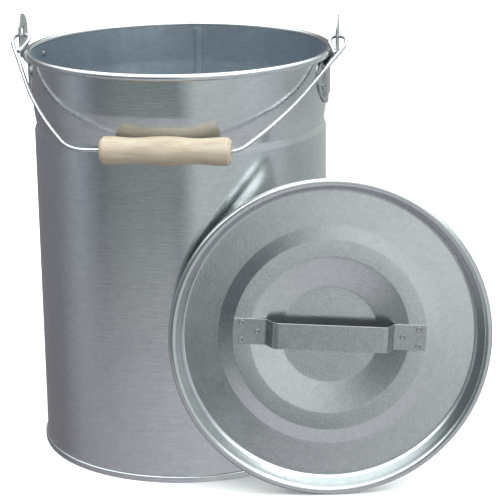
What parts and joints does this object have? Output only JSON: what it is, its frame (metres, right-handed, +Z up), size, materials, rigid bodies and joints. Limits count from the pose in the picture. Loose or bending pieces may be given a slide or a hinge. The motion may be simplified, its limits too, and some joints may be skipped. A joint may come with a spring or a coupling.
{
  "type": "lidded steel can with bail handle",
  "caption": "Tall round galvanised steel can with a rolled rim, a wire bail with a wooden grip, and a loose pressed lid with a strap handle.",
  "frame": {"origin": "on the can's axis, at the floor", "axes": "+Z up along the can's axis; the two ears that carry the bail stand on +X and -X; the bail hangs forward and the lid leans forward, towards -Y"},
  "size_m": [0.4848, 0.3334, 0.4415],
  "materials": {
    "zinc_sheet": "galvanised sheet, satin",
    "zinc_lid": "galvanised sheet, satin",
    "zinc_strap": "galvanised strip, satin",
    "bright_wire": "bright galvanised wire",
    "plain_rivet": "zinc plated, satin",
    "beech": "turned, unvarnished"
  },
  "bodies": {
    "can": {"can_body": "zinc_sheet", "rim_wire": "bright_wire", "base_pan": "zinc_sheet", "ear_left": "zinc_strap", "ear_right": "zinc_strap", "ear_rivets_left": "plain_rivet", "ear_rivets_right": "plain_rivet"},
    "bail": {"bail_wire": "bright_wire"},
    "grip": {"bail_grip": "beech"},
    "lid": {"lid_panel": "zinc_lid", "lid_handle": "zinc_strap", "lid_rivets_left": "plain_rivet", "lid_rivets_right": "plain_rivet"}
  },
  "joints": [
    {"name": "bail_swing", "type": "hinge", "parent": "can", "child": "bail", "pos_m": [0, 0, 0.4203], "axis": [-1, 0, 0], "range_deg": [0, 233]},
    {"name": "grip_spin", "type": "hinge", "parent": "bail", "child": "grip", "pos_m": [0.008, -0.1618, 0.33963], "axis": [1, 0, 0], "continuous": true},
    {"name": "lid_carry", "type": "slide", "parent": "can", "child": "lid", "axis": [0.1299, -0.9867, 0.0976], "range_m": [0, 0.25]}
  ]
}
